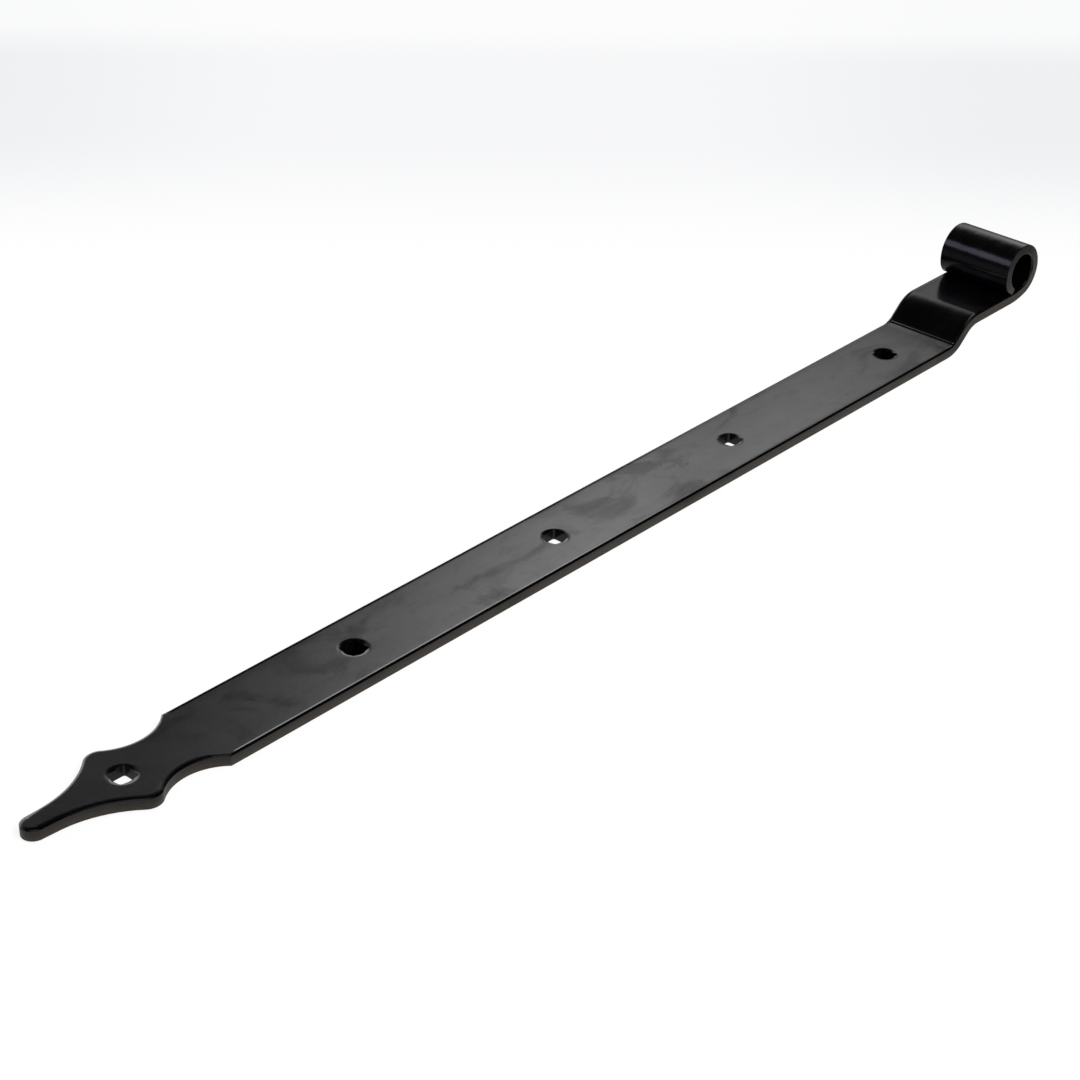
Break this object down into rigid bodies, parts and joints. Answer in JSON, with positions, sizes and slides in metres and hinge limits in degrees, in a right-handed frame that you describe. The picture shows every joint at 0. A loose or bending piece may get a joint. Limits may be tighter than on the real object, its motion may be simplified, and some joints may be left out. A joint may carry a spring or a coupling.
{
  "type": "strap hinge leaf",
  "caption": "Long black steel strap leaf of a hook-and-band hinge: spear finial, square bolt holes, joggle and rolled pintle eye.",
  "frame": {"origin": "centre of the pintle bore, on the strap's centre line", "axes": "+X from the eye to the finial tip, +Y along the pintle bore, +Z from the face that lies on the door to the outer face"},
  "size_m": [0.5953, 0.038, 0.0381],
  "materials": {
    "satin_black_paint": "satin"
  },
  "bodies": {
    "root": {"strap": "satin_black_paint"}
  },
  "joints": []
}
